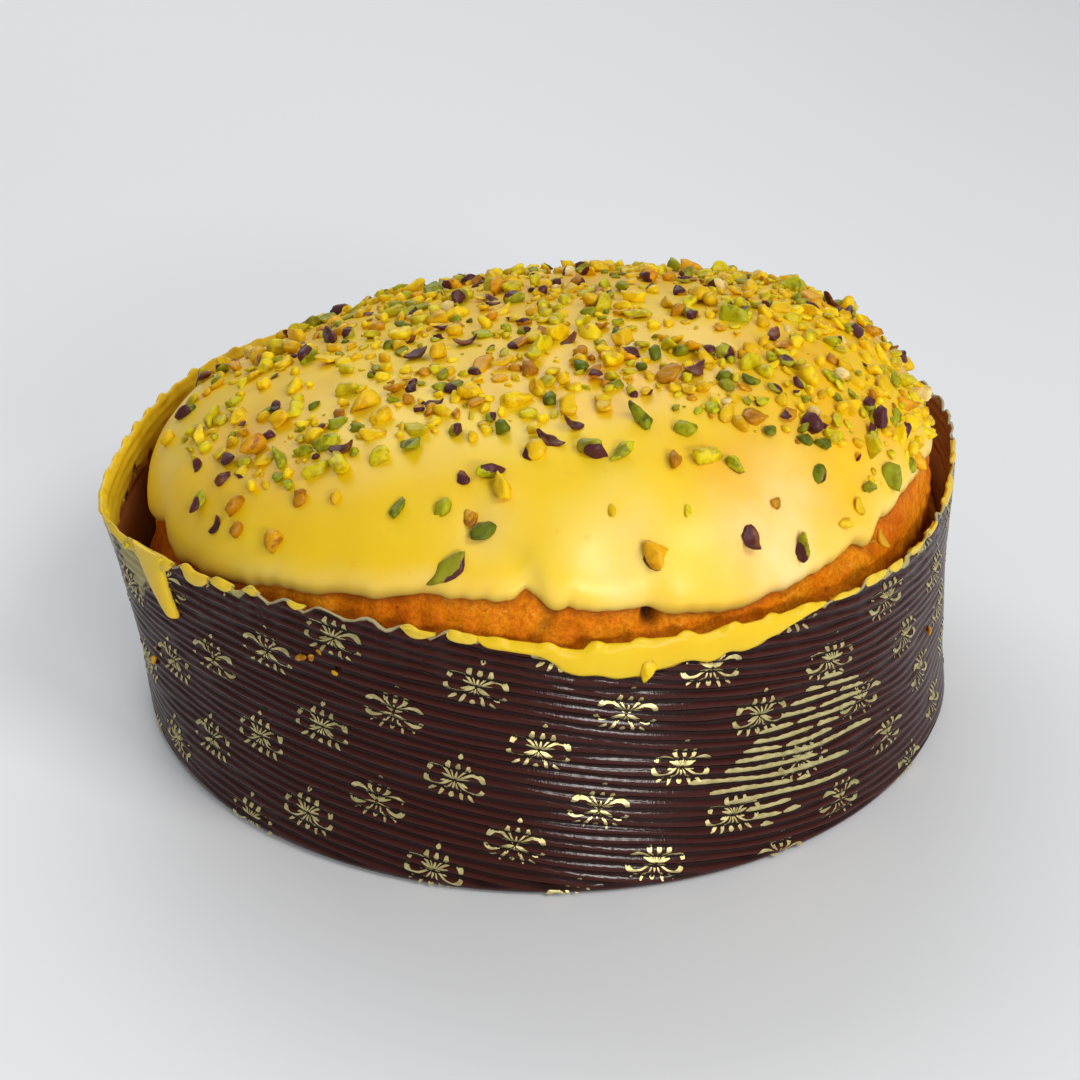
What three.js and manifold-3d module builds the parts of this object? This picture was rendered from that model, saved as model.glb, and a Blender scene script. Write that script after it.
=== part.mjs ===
// A glazed, low panettone in its corrugated paper case, with chopped nuts scattered over the icing.
//
// The case is a cup of ribbed paper with a pinked, wavy rim. The loaf fills it, leaves a pit along one
// side, and domes over the rim. Icing runs down the dome to an uneven edge, and some of it lies on the rim.
// Millimetres, +Z up, with the origin on the table under the middle of the whole. The side with the most
// icing on its rim is -Y, and azimuths are measured from +X, anticlockwise seen from above.
import * as THREE from "three";
import { mergeVertices } from "three/addons/utils/BufferGeometryUtils.js";
import Module from "manifold-3d";

// Paper case
const BASE_RADIUS = 104; // outside, where it stands on the table
const RIM_HEIGHT = 62.8; // middle of the wave
const WAVE_COUNT = 70;
const WAVE_HEIGHT = 1.1; // above and below the middle
const PAPER = 1.2; // wall and floor, with their corrugation
const FOOT_ROUND = 3;
const RIB_PITCH = 2.45;
const RIB_DEPTH = 0.7;
const PLAIN_BAND = 3.5; // no ribs this close under the rim
const WAIST = 1; // how far the wall draws in at half its height
const CASE_X = 0.93; // the case leans out unevenly, so its axis is off the middle of the whole
const CASE_Y = 0.8;

// Loaf and icing
const SHOULDER_HEIGHT = 54; // where the dome is widest
const SHOULDER_RADIUS = 98.5;
const DOME_HEIGHT = 96.6;
const DOME_TOP = new THREE.Vector2(30, -12); // its highest part is off the case's axis
const DOME_TILT = new THREE.Vector2(0.07, -0.045);
const PLAN_ROUNDNESS = 2.25; // 2 is an ellipse, more is boxier
const CROWN_ROUNDNESS = 2.4;
const ICING = 2.2;
const EDGE_LEVEL = 66; // mean height of the icing's lower edge
const CONTACT_LEVEL = 47; // where the loaf leaves the paper
const GAP = 0.4; // between neighbours
const LOAF_CLEARANCE = GAP * 2.6; // clears the middle of the case's flat facets too
const CRUST_DEPTH = ICING + GAP * 1.25; // of the loaf under the iced dome, clear of twisted facets
const FLOOR_ROUND = 3; // of the loaf's foot

// Uneven heights round the case, each a list of hills: azimuth, width in degrees, rise in millimetres
const RIM_HILLS = [
  [-113, 18, 1.8],
  [-86, 9, -0.9],
  [60, 28, -0.8],
  [118, 26, 0.8],
];
const EDGE_HILLS = [
  [-175, 18, -10],
  [-145, 18, -8.5],
  [-100, 13, 3.6],
  [-92, 2, 2.4],
  [-84, 5, 0.8],
  [-66, 11, -2.2],
  [-28, 20, 6.2],
  [20, 14, -3],
  [58, 12, 4],
  [92, 15, -4],
  [128, 10, 4],
  [158, 12, -3],
];
const CONTACT_HILLS = [
  [180, 38, -14],
  [-90, 40, 3],
  [-8, 22, -7],
];
// How far the paper leans out at its rim, in the same way
const RIM_LEAN = 0.8;
const LEAN_HILLS = [
  [-154.5, 16, 6.6],
  [-18, 22, -4.2],
  [16, 12, 4],
  [148, 16, 1.8],
];

// Chopped nuts
const NUT_SEED = 7;
const NUT_COUNT = 140;
const NUT_LENGTH = [3.2, 7.5];
const LARGE_NUT = 4.6; // from this length a nut has more faces
const NUT_LIFT = 0.1; // its middle stands this share of its length out of the icing
const NUT_FIELD = new THREE.Vector2(4, 0); // middle of the densest part
const NUT_REACH = 100; // radius at which they run out
const NUT_FADE = 16;
const STRAY_NUTS = 0.04; // the share that lies outside the field
const BARE_EDGE = 0.12; // radians of the dome above the icing's edge that stay bare

const RAD = Math.PI / 180;
const CASE_STEPS = 36;
const LOAF_STEPS = 64;

const wasm = await Module();
wasm.setup();

// A smooth hill of height 1 at an azimuth, its centre and width in degrees.
function hill(azimuth, centre, width) {
  const away = ((((azimuth / RAD - centre) % 360) + 540) % 360) - 180;
  return Math.exp(-((away / width) ** 2));
}

function hills(azimuth, list) {
  return list.reduce((sum, [centre, width, rise]) => sum + rise * hill(azimuth, centre, width), 0);
}

// Outside radius of the paper: a corner of its rim is pulled out on the left, and its right is bent in.
function paperRadius(azimuth, z) {
  const lean = RIM_LEAN + hills(azimuth, LEAN_HILLS);
  const share = z / RIM_HEIGHT;
  return BASE_RADIUS + lean * share ** 1.2 - WAIST * Math.sin(Math.PI * share) ** 2;
}

function rimHeight(azimuth) {
  return RIM_HEIGHT + hills(azimuth, RIM_HILLS);
}

function shoulderRadius(azimuth) {
  return SHOULDER_RADIUS - Math.cos(azimuth) - 3 * Math.sin(azimuth) - 0.5 * Math.cos(2 * azimuth);
}

// A point of the iced dome: climb goes from 0 at the widest ring to 90 degrees at the top.
function domePoint(azimuth, climb) {
  const out = Math.cos(climb) ** (2 / PLAN_ROUNDNESS);
  const up = Math.sin(climb) ** (2 / CROWN_ROUNDNESS);
  const r = shoulderRadius(azimuth);
  const x = DOME_TOP.x + (r * Math.cos(azimuth) - DOME_TOP.x) * out;
  const y = DOME_TOP.y + (r * Math.sin(azimuth) - DOME_TOP.y) * out;
  const rise = DOME_HEIGHT - SHOULDER_HEIGHT + DOME_TILT.x * x + DOME_TILT.y * y;
  return new THREE.Vector3(x, y, SHOULDER_HEIGHT + rise * up);
}

function domeNormal(azimuth, climb) {
  const step = 0.01;
  const a = Math.min(Math.max(climb, step), Math.PI / 2 - step * 2);
  const across = domePoint(azimuth + step, a).sub(domePoint(azimuth - step, a));
  const along = domePoint(azimuth, a + step).sub(domePoint(azimuth, a - step));
  return across.cross(along).normalize();
}

function underDome(azimuth, climb, depth) {
  return domePoint(azimuth, climb).addScaledVector(domeNormal(azimuth, climb), -depth);
}

// Climb at which the icing's lower edge lies.
function edgeClimb(azimuth) {
  const height = EDGE_LEVEL + hills(azimuth, EDGE_HILLS);
  let low = 0;
  let high = Math.PI / 4;
  for (let i = 0; i < 20; i++) {
    const middle = (low + high) / 2;
    if (domePoint(azimuth, middle).z < height) low = middle;
    else high = middle;
  }
  return low;
}

function closed(position, index) {
  const geometry = new THREE.BufferGeometry();
  geometry.setAttribute("position", new THREE.Float32BufferAttribute(position, 3));
  geometry.setIndex(index);
  return geometry;
}

// A closed body from rings of points, each anticlockwise seen from above. They run from the pole whose face
// looks up, over the body, to the pole whose face looks down.
function ringBody(firstPole, rings, lastPole) {
  const steps = rings[0].length;
  const position = [firstPole, ...rings.flat(), lastPole].flatMap((p) => [p.x, p.y, p.z]);
  const at = (ring, i) => 1 + ring * steps + (i % steps);
  const last = rings.length - 1;
  const pole = 1 + rings.length * steps;
  const index = [];
  for (let i = 0; i < steps; i++) {
    index.push(0, at(0, i), at(0, i + 1));
    for (let ring = 0; ring < last; ring++) {
      index.push(at(ring, i), at(ring + 1, i), at(ring + 1, i + 1));
      index.push(at(ring, i), at(ring + 1, i + 1), at(ring, i + 1));
    }
    index.push(at(last, i), pole, at(last, i + 1));
  }
  return closed(position, index);
}

function azimuths(steps) {
  return Array.from({ length: steps }, (_, i) => (i * 2 * Math.PI) / steps);
}

// A ring round the axis. Its height is one number or a function of the azimuth.
function ring(steps, radius, height) {
  return azimuths(steps).map((a) => {
    const z = typeof height === "function" ? height(a) : height;
    const r = radius(a, z);
    return new THREE.Vector3(r * Math.cos(a), r * Math.sin(a), z);
  });
}

function toSolid(geometry) {
  const plain = new THREE.BufferGeometry();
  plain.setAttribute("position", geometry.getAttribute("position"));
  if (geometry.index) plain.setIndex(geometry.index);
  const merged = mergeVertices(plain, 1e-4);
  return new wasm.Manifold(
    new wasm.Mesh({
      numProp: 3,
      vertProperties: new Float32Array(merged.getAttribute("position").array),
      triVerts: new Uint32Array(merged.index.array),
    }),
  );
}

function toGeometry(solid) {
  const mesh = solid.getMesh();
  return closed(Array.from(mesh.vertProperties), Array.from(mesh.triVerts));
}

// Paper case: the ribbed cup, with its rim cut to a wave.
function caseGeometry() {
  const blankTop = RIM_HEIGHT + 3;
  const inside = (a, z) => paperRadius(a, z) - PAPER;
  const rings = [];
  for (const turn of [0, Math.PI / 4, Math.PI / 2]) {
    const inset = FOOT_ROUND * (1 - Math.sin(turn));
    const z = FOOT_ROUND * (1 - Math.cos(turn));
    rings.push(ring(CASE_STEPS, (a) => paperRadius(a, 0) - inset, z));
  }
  for (let z = FOOT_ROUND + RIB_PITCH / 2; z < RIM_HEIGHT - PLAIN_BAND; z += RIB_PITCH) {
    rings.push(ring(CASE_STEPS, (a, h) => paperRadius(a, h) - RIB_DEPTH, z));
    rings.push(ring(CASE_STEPS, paperRadius, z + RIB_PITCH / 2));
  }
  rings.push(ring(CASE_STEPS, paperRadius, blankTop));
  rings.push(ring(CASE_STEPS, inside, blankTop));
  rings.push(ring(CASE_STEPS, inside, RIM_HEIGHT / 2));
  rings.push(ring(CASE_STEPS, (a) => inside(a, 0), PAPER + 2));
  rings.push(ring(CASE_STEPS, (a) => inside(a, 0) - 2, PAPER));
  const floorPole = new THREE.Vector3(0, 0, PAPER);
  const blank = ringBody(floorPole, rings.toReversed(), new THREE.Vector3());
  return toGeometry(toSolid(blank).subtract(toSolid(waveCutter(blankTop + 3))));
}

// A flat ring whose underside is the wave of the rim.
function waveCutter(roof) {
  const steps = WAVE_COUNT * 3; // a broad crest between two sharp troughs
  const wave = (a) => rimHeight(a) - WAVE_HEIGHT * Math.cos(WAVE_COUNT * a);
  const inner = () => BASE_RADIUS - 12;
  const outer = () => BASE_RADIUS + 12;
  const bands = [
    ring(steps, inner, wave),
    ring(steps, outer, wave),
    ring(steps, outer, roof),
    ring(steps, inner, roof),
  ];
  const position = bands.flat().flatMap((p) => [p.x, p.y, p.z]);
  const index = [];
  for (let band = 0; band < bands.length; band++) {
    const next = (band + 1) % bands.length;
    for (let i = 0; i < steps; i++) {
      const a = band * steps + i;
      const b = next * steps + i;
      const c = next * steps + ((i + 1) % steps);
      const d = band * steps + ((i + 1) % steps);
      index.push(a, c, b, a, d, c);
    }
  }
  return closed(position, index);
}

// Steps of the climb between the icing's edge and the dome's top, shared by the loaf and the icing, so
// that their facets lie parallel.
const COVERED = [0, 0.16, 0.36, 0.6, 0.82];
// The icing's own, finer steps, on its outside.
const GLAZED = [0, 0.07, 0.16, 0.26, 0.38, 0.52, 0.68, 0.84];
// Steps of the bare crust, from just under the icing's edge down to the widest ring.
const BARE = [0.75, 0.4, 0];

function coveredRing(share, depth) {
  return azimuths(LOAF_STEPS).map((a) => {
    const edge = edgeClimb(a);
    return underDome(a, edge + (Math.PI / 2 - edge) * share, depth);
  });
}

function loafGeometry() {
  const wall = (a, z) => paperRadius(a, z) - PAPER - LOAF_CLEARANCE;
  const rings = COVERED.toReversed().map((share) => coveredRing(share, CRUST_DEPTH));
  for (const share of BARE)
    rings.push(azimuths(LOAF_STEPS).map((a) => underDome(a, edgeClimb(a) * share, CRUST_DEPTH)));
  for (const share of [0.45, 1]) {
    const flank = azimuths(LOAF_STEPS).map((a) => {
      const shoulder = underDome(a, 0, CRUST_DEPTH);
      const low = CONTACT_LEVEL + hills(a, CONTACT_HILLS);
      const z = THREE.MathUtils.lerp(shoulder.z, low, share);
      const r = THREE.MathUtils.lerp(Math.hypot(shoulder.x, shoulder.y), wall(a, z), share ** 2);
      return new THREE.Vector3(r * Math.cos(a), r * Math.sin(a), z);
    });
    rings.push(flank);
  }
  const foot = PAPER + GAP;
  rings.push(ring(LOAF_STEPS, wall, RIM_HEIGHT / 2));
  rings.push(ring(LOAF_STEPS, wall, foot + FLOOR_ROUND));
  rings.push(ring(LOAF_STEPS, (a, z) => wall(a, z) - FLOOR_ROUND, foot));
  return ringBody(underDome(0, Math.PI / 2, CRUST_DEPTH), rings, new THREE.Vector3(0, 0, foot));
}

function icingGeometry() {
  const nose = azimuths(LOAF_STEPS).map((a) => {
    const p = underDome(a, edgeClimb(a), ICING * 0.55);
    p.z -= ICING * 0.38;
    return p;
  });
  const rings = [
    ...GLAZED.toReversed().map((share) => coveredRing(share, 0)),
    nose,
    ...COVERED.map((share) => coveredRing(share, ICING)),
  ];
  return ringBody(underDome(0, Math.PI / 2, 0), rings, underDome(0, Math.PI / 2, ICING));
}

// A repeatable stream of numbers from 0 to 1.
function randomStream(seed) {
  let state = seed;
  return () => {
    state = (Math.imul(state, 1664525) + 1013904223) >>> 0;
    return state / 4294967296;
  };
}

// How thickly the nuts lie: dense on the crown, thin near the edge.
function nutDensity(x, y) {
  const inward = NUT_REACH - Math.hypot(x - NUT_FIELD.x, y - NUT_FIELD.y);
  return THREE.MathUtils.lerp(STRAY_NUTS, 1, THREE.MathUtils.smoothstep(inward, 0, NUT_FADE));
}

// One chopped nut: a lopsided stone, longer than it is wide.
function nutGeometry(random, length) {
  const stone =
    length > LARGE_NUT ? new THREE.IcosahedronGeometry(0.5, 0) : new THREE.OctahedronGeometry(0.55, 0);
  const plain = new THREE.BufferGeometry();
  plain.setAttribute("position", stone.getAttribute("position"));
  const geometry = mergeVertices(plain, 1e-4);
  const place = geometry.getAttribute("position");
  for (let i = 0; i < place.count; i++) {
    const stretch = 0.82 + 0.36 * random();
    place.setXYZ(i, place.getX(i) * stretch, place.getY(i) * stretch, place.getZ(i) * stretch);
  }
  const width = length * (0.5 + 0.25 * random());
  return geometry.scale(length, width, width * 0.85);
}

function nuts() {
  const random = randomStream(NUT_SEED);
  const up = new THREE.Vector3(0, 0, 1);
  const placed = [];
  const stones = [];
  while (stones.length < NUT_COUNT) {
    const azimuth = 2 * Math.PI * random();
    const climb = Math.acos(Math.sqrt(random()) ** (PLAN_ROUNDNESS / 2));
    const centre = domePoint(azimuth, climb);
    const keep = random() < nutDensity(centre.x, centre.y);
    const length = THREE.MathUtils.lerp(...NUT_LENGTH, random() ** 2.2);
    const spin = 2 * Math.PI * random();
    if (!keep || climb < edgeClimb(azimuth) + BARE_EDGE) continue;
    const crowded = placed.some((p) => p.centre.distanceTo(centre) < (p.length + length) * 0.55);
    if (crowded) continue;
    placed.push({ centre, length });
    const normal = domeNormal(azimuth, climb);
    const geometry = nutGeometry(random, length);
    geometry.rotateZ(spin);
    geometry.applyQuaternion(new THREE.Quaternion().setFromUnitVectors(up, normal));
    const seat = centre.clone().addScaledVector(normal, length * NUT_LIFT);
    geometry.translate(seat.x, seat.y, seat.z);
    stones.push(toSolid(geometry));
  }
  return stones;
}

function icedGeometry() {
  return toGeometry(wasm.Manifold.union([toSolid(icingGeometry()), ...nuts()]));
}

// Icing that ran over the rim: a strip saddled on it from one azimuth to another, in degrees, that hangs
// down outside and inside by the given depths in the middle.
function rimIcingGeometry(from, to, outside, inside) {
  const steps = Math.max(6, Math.round((to - from) / 4));
  const facet = 0.5; // what the flat facets of the case leave between their corners and a true round
  const sections = [];
  for (let i = 0; i <= steps; i++) {
    const share = i / steps;
    const azimuth = (from + (to - from) * share) * RAD;
    const swell = Math.sin(Math.PI * (0.06 + 0.88 * share)) ** 0.7;
    const thick = 0.5 + 0.9 * swell;
    const crest = rimHeight(azimuth) + WAVE_HEIGHT + GAP;
    const low = crest - 0.8 - outside * swell;
    const deep = crest - 0.8 - inside * swell;
    const face = (z) => paperRadius(azimuth, z) + GAP;
    const back = (z) => paperRadius(azimuth, z) - PAPER - GAP - facet;
    const outline = [
      [face(low), low],
      [face(low) + thick * 0.6, low],
      [face(crest) + thick, crest - 1],
      [face(crest) + thick * 0.3, crest + thick * 0.8],
      [back(crest) - thick * 0.2, crest + thick * 0.8],
      [back(crest) - thick * 0.5, crest - 1],
      [back(deep) - thick * 0.4, deep],
      [back(deep), deep],
      [back(crest), crest],
      [face(crest), crest],
    ];
    const section = outline.map(
      ([r, z]) => new THREE.Vector3(r * Math.cos(azimuth), r * Math.sin(azimuth), z),
    );
    sections.push(section);
  }
  return sweep(sections);
}

// A closed body through a row of like outlines, with a flat face at each end.
function sweep(sections) {
  const count = sections[0].length;
  const position = sections.flat().flatMap((p) => [p.x, p.y, p.z]);
  const index = [];
  for (let s = 0; s < sections.length - 1; s++)
    for (let i = 0; i < count; i++) {
      const a = s * count + i;
      const b = s * count + ((i + 1) % count);
      index.push(a, a + count, b + count, a, b + count, b);
    }
  const flat = sections[0].map((p) => new THREE.Vector2(Math.hypot(p.x, p.y), p.z));
  const end = (sections.length - 1) * count;
  for (const [a, b, c] of THREE.ShapeUtils.triangulateShape(flat, [])) {
    index.push(a, b, c);
    index.push(end + a, end + c, end + b);
  }
  return closed(position, index);
}

const paper = new THREE.MeshStandardMaterial({ color: new THREE.Color(0.09, 0.03, 0.03), roughness: 0.45 });
const crust = new THREE.MeshStandardMaterial({ color: new THREE.Color(0.55, 0.2, 0.04), roughness: 0.75 });
const icing = new THREE.MeshStandardMaterial({ color: new THREE.Color(0.9, 0.65, 0.06), roughness: 0.35 });

const group = new THREE.Group();
group.position.set(CASE_X, CASE_Y, 0);

function add(name, geometry, material) {
  const mesh = new THREE.Mesh(geometry, material);
  mesh.geometry.computeVertexNormals();
  mesh.name = name;
  group.add(mesh);
}

add("paper_case", caseGeometry(), paper);
add("bread", loafGeometry(), crust);
add("icing", icedGeometry(), icing);
add("rim_icing_front", rimIcingGeometry(-97, -58, 6, 1), icing);
add("rim_icing_drip", rimIcingGeometry(-152, -140, 11, 2), icing);
add("rim_icing_back", rimIcingGeometry(148, 192, 1.5, 12), icing);

export default group;
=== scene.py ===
# A glazed, low panettone in its ribbed paper case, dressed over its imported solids.
import math

import bmesh
import bpy
import numpy as np
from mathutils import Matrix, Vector


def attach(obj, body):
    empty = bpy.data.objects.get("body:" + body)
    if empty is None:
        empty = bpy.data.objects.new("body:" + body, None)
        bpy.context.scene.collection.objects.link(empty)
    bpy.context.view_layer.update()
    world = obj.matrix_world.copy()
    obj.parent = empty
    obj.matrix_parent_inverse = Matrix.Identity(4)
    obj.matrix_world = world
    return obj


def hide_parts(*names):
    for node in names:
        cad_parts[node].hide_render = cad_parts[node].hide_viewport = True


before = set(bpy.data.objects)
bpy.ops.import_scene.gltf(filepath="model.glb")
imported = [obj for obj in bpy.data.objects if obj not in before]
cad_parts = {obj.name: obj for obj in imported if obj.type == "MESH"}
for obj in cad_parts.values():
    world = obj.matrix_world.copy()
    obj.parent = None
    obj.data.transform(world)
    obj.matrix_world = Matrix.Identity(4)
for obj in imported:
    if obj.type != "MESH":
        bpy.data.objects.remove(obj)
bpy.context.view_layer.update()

BODY = "root"
MM = 0.001

# Lengths are in millimetres from the case's axis. Azimuths are measured from +X, anticlockwise from above.
# Hills are listed as azimuth and width in degrees, and rise. Everything uneven is drawn from fixed seeds.

# Paper case
BASE_RADIUS = 104
RIM_HEIGHT = 62.8
WAVE_COUNT = 70
WAVE_HEIGHT = 1.1
SHEET = 0.55
CASE_FLOOR = 1.2
FOOT_ROUND = 2.4
RIB_PITCH = 2.45
RIB_DEPTH = 0.7
RIB_TURNS = 15  # pitches that the ribs come down in one turn round the case
RIB_STEEP = (-88, 34, 0.16)  # where they are steeper: azimuth, width in degrees and slope
WAIST = 1
CASE_X = 0.93  # the case's axis in the frame
CASE_Y = 0.8
DOME_STEPS = 720  # points round the loaf and the icing
RIM_HILLS = [(-113, 18, 1.8), (-86, 9, -0.9), (60, 28, -0.8), (118, 26, 0.8)]
RIM_DETAILS = [(-87, 2.2, -1), (-99, 2, 0.7), (-72.5, 2, -0.6), (-47, 2, 0.7), (-160, 3, -0.5)]
RIM_LEAN = 0.8
LEAN_HILLS = [(-154.5, 16, 6.6), (-18, 22, -4.2), (16, 12, 4), (148, 16, 1.8)]

# Loaf and icing
SHOULDER_HEIGHT = 54
SHOULDER_RADIUS = 98.5
DOME_HEIGHT = 96.6
DOME_TOP = (30, -12)
DOME_TILT = (0.07, -0.045)
PLAN_ROUNDNESS = 2.25
CROWN_ROUNDNESS = 2.4
ICING = 2.6  # down to the crust
EDGE_LEVEL = 66  # of the icing's lower edge
EDGE_HILLS = [
    (-175, 18, -10), (-145, 18, -8.5), (-100, 13, 3.6), (-92, 2, 2.4), (-84, 5, 0.8), (-66, 11, -2.2),
    (-28, 20, 6.2), (20, 14, -3), (58, 12, 4), (92, 15, -4), (128, 10, 4), (158, 12, -3),
]
EDGE_DETAILS = [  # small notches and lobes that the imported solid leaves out
    (-93.6, 0.8, 1.7), (-90.2, 1.6, -1.6), (-87.9, 0.6, 0.9), (-78.6, 2, 1.4), (-72, 2, -0.4),
    (-57, 1.5, 0.5), (-49, 1.6, 0.9), (-45.2, 1.5, -2.6), (-41.5, 1.3, 1), (-120, 3, -0.5), (-131, 3, -0.6),
    (-138, 2.4, -0.8), (-146, 1.6, -1.6), (-152.5, 2.6, 3.6), (-163, 3, -1.2), (-171, 3, 1.4),
]
CONTACT_LEVEL = 47  # where the crust meets the case
CONTACT_HILLS = [(180, 38, -14), (-90, 40, 3), (-8, 22, -7)]


def bell(away, width):
    return np.exp(-((away / width) ** 2))


def rounded(away, power=2):
    """1 in the middle, falling like a round edge to 0 at 1."""
    return np.sqrt(np.clip(1 - np.abs(away) ** power, 0, 1))


def hill(azimuth, centre, width):
    """A smooth hill of height 1 round an azimuth, its centre and width in degrees."""
    return bell((np.degrees(azimuth) - centre + 540) % 360 - 180, width)


def spot(points, x, y, radius):
    """A smooth spot of strength 1 round a place in plan."""
    return np.exp(-((points[..., 0] - x) ** 2 + (points[..., 1] - y) ** 2) / radius**2)


def hills(azimuth, listed):
    return sum(rise * hill(azimuth, centre, width) for centre, width, rise in listed)


def swing(azimuth, seed, slowest, fastest, count=6):
    """A smooth unevenness round the case, about -1 to 1: waves of whole numbers to the turn."""
    draw = np.random.default_rng(seed)
    waves = draw.integers(slowest, fastest + 1, count)
    turns = draw.uniform(0, 2 * np.pi, count)
    return sum(np.sin(n * azimuth + t) for n, t in zip(waves, turns)) / math.sqrt(count)


def ripple(points, size, seed, count=9):
    """A smooth unevenness in space, about -1 to 1, with bumps of about that size."""
    draw = np.random.default_rng(seed)
    total = 0
    for _ in range(count):
        direction = draw.normal(size=3)
        direction *= 2 * np.pi / (size * draw.uniform(1.5, 2.6) * np.linalg.norm(direction))
        total = total + np.sin(points @ direction + draw.uniform(0, 2 * np.pi))
    return total / math.sqrt(count)


def smooth(value, low, high):
    t = np.clip((value - low) / (high - low), 0, 1)
    return t * t * (3 - 2 * t)


def soften(values, rounds):
    """Smooths a run of values in place, all but its two ends."""
    for _ in range(rounds):
        values[1:-1] = (values[:-2] + 2 * values[1:-1] + values[2:]) / 4
    return values


def round_turn(steps):
    return np.linspace(-np.pi, np.pi, steps, endpoint=False)


def polar(azimuth, radius, height):
    """Points about the case's axis."""
    a, r, z = np.broadcast_arrays(azimuth, radius, height)
    return np.stack([r * np.cos(a), r * np.sin(a), z], -1)


# Shape of the paper case

def rib_slope(azimuth):
    """How much the ribs come down for each millimetre round the case: they are steeper at the front."""
    centre, width, steep = RIB_STEEP
    level = RIB_TURNS * RIB_PITCH / (2 * np.pi * BASE_RADIUS) - steep * width * math.sqrt(math.pi) / 360
    return level + steep * hill(azimuth, centre, width)


RIB_TABLE = np.linspace(-np.pi, np.pi, 1441)
RIB_FALL = np.concatenate([[0], np.cumsum(rib_slope((RIB_TABLE[1:] + RIB_TABLE[:-1]) / 2))])
RIB_FALL *= RIB_TURNS * RIB_PITCH / RIB_FALL[-1]


def rib_phase(azimuth, z):
    """Whole on the crests of the ribs."""
    wrapped = (azimuth + np.pi) % (2 * np.pi) - np.pi
    fall = np.interp(wrapped, RIB_TABLE, RIB_FALL)
    uneven = 0.09 * swing(azimuth + z * 0.02, 3, 9, 40) + 0.1 * np.sin(z * 0.31 + 3 * azimuth)
    return (z - FOOT_ROUND + fall) / RIB_PITCH + uneven


def groove(azimuth, z):
    """0 on a rib's crest, 1 at the bottom of a groove."""
    return 0.5 - 0.5 * np.cos(2 * np.pi * rib_phase(azimuth, z))


def plain_radius(azimuth, z):
    lean = RIM_LEAN + hills(azimuth, LEAN_HILLS)
    share = np.maximum(z, 0) / RIM_HEIGHT
    dents = 0.3 * swing(azimuth + z * 0.01, 5, 5, 21) * np.sin(np.pi * np.clip(share, 0, 1))
    bulge = 1.1 * hill(azimuth, -14, 12) * bell(z - 3, 7)
    return BASE_RADIUS + lean * share**1.2 - WAIST * np.sin(np.pi * share) ** 2 + dents + bulge


def wall_radius(azimuth, z):
    """The outside of the ribbed paper."""
    depth = RIB_DEPTH * (0.86 + 0.14 * swing(azimuth + 0.05 * z, 8, 20, 90)) * smooth(z, 0.5, 2.5)
    return plain_radius(azimuth, z) - depth * groove(azimuth, z)


def inner_radius(azimuth, z):
    """The smooth face that the ribbed paper shows inside."""
    return plain_radius(azimuth, z) - RIB_DEPTH - SHEET


def rim_middle(azimuth):
    """The rim without its wave."""
    return RIM_HEIGHT + hills(azimuth, RIM_HILLS) + hills(azimuth, RIM_DETAILS)


def rim_height(azimuth):
    broad = 2 * np.abs(np.sin(WAVE_COUNT * azimuth / 2)) ** 1.6 - 1
    height = 0.9 * WAVE_HEIGHT * (1 + 0.22 * swing(azimuth, 11, 15, 60))
    return rim_middle(azimuth) + height * broad + 0.22 * swing(azimuth, 12, 20, 90)


# Shape of the dome

def shoulder_radius(azimuth):
    return SHOULDER_RADIUS - np.cos(azimuth) - 3 * np.sin(azimuth) - 0.5 * np.cos(2 * azimuth)


def dome_point(azimuth, climb):
    """A point of the iced dome: climb goes from 0 at the widest ring to 90 degrees at the top."""
    azimuth, climb = np.broadcast_arrays(azimuth, climb)
    out = np.maximum(np.cos(climb), 0) ** (2 / PLAN_ROUNDNESS)
    up = np.maximum(np.sin(climb), 0) ** (2 / CROWN_ROUNDNESS)
    r = shoulder_radius(azimuth)
    x = DOME_TOP[0] + (r * np.cos(azimuth) - DOME_TOP[0]) * out
    y = DOME_TOP[1] + (r * np.sin(azimuth) - DOME_TOP[1]) * out
    rise = DOME_HEIGHT - SHOULDER_HEIGHT + DOME_TILT[0] * x + DOME_TILT[1] * y
    return np.stack([x, y, SHOULDER_HEIGHT + rise * up], -1)


def dome_normal(azimuth, climb):
    step = 0.01
    climb = np.clip(climb, step, np.pi / 2 - 2 * step)
    across = dome_point(azimuth + step, climb) - dome_point(azimuth - step, climb)
    along = dome_point(azimuth, climb + step) - dome_point(azimuth, climb - step)
    normal = np.cross(across, along)
    return normal / np.linalg.norm(normal, axis=-1, keepdims=True)


def under_dome(azimuth, climb, depth):
    return dome_point(azimuth, climb) - dome_normal(azimuth, climb) * depth


def above(edge, share):
    """Climb at a share of the way from the edge to the top."""
    return edge + (np.pi / 2 - edge) * share


def climb_to(height, azimuth, halvings):
    """Climb at which the dome reaches a height."""
    low = np.zeros_like(azimuth)
    high = np.full_like(azimuth, np.pi / 4)
    for _ in range(halvings):
        middle = (low + high) / 2
        under = dome_point(azimuth, middle)[..., 2] < height
        low = np.where(under, middle, low)
        high = np.where(under, high, middle)
    return low


def edge_climb(azimuth):
    """Climb at which the icing's lower edge lies."""
    height = EDGE_LEVEL + hills(azimuth, EDGE_HILLS) + hills(azimuth, EDGE_DETAILS)
    height = height + 0.35 * swing(azimuth, 21, 12, 50) + 0.16 * swing(azimuth, 22, 60, 150)
    return climb_to(height, azimuth, 22)


def solid_edge(azimuth):
    """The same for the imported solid, without the small details, at a single azimuth."""
    azimuth = np.array([azimuth], float)
    return float(climb_to(EDGE_LEVEL + hills(azimuth, EDGE_HILLS), azimuth, 20)[0])


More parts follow.
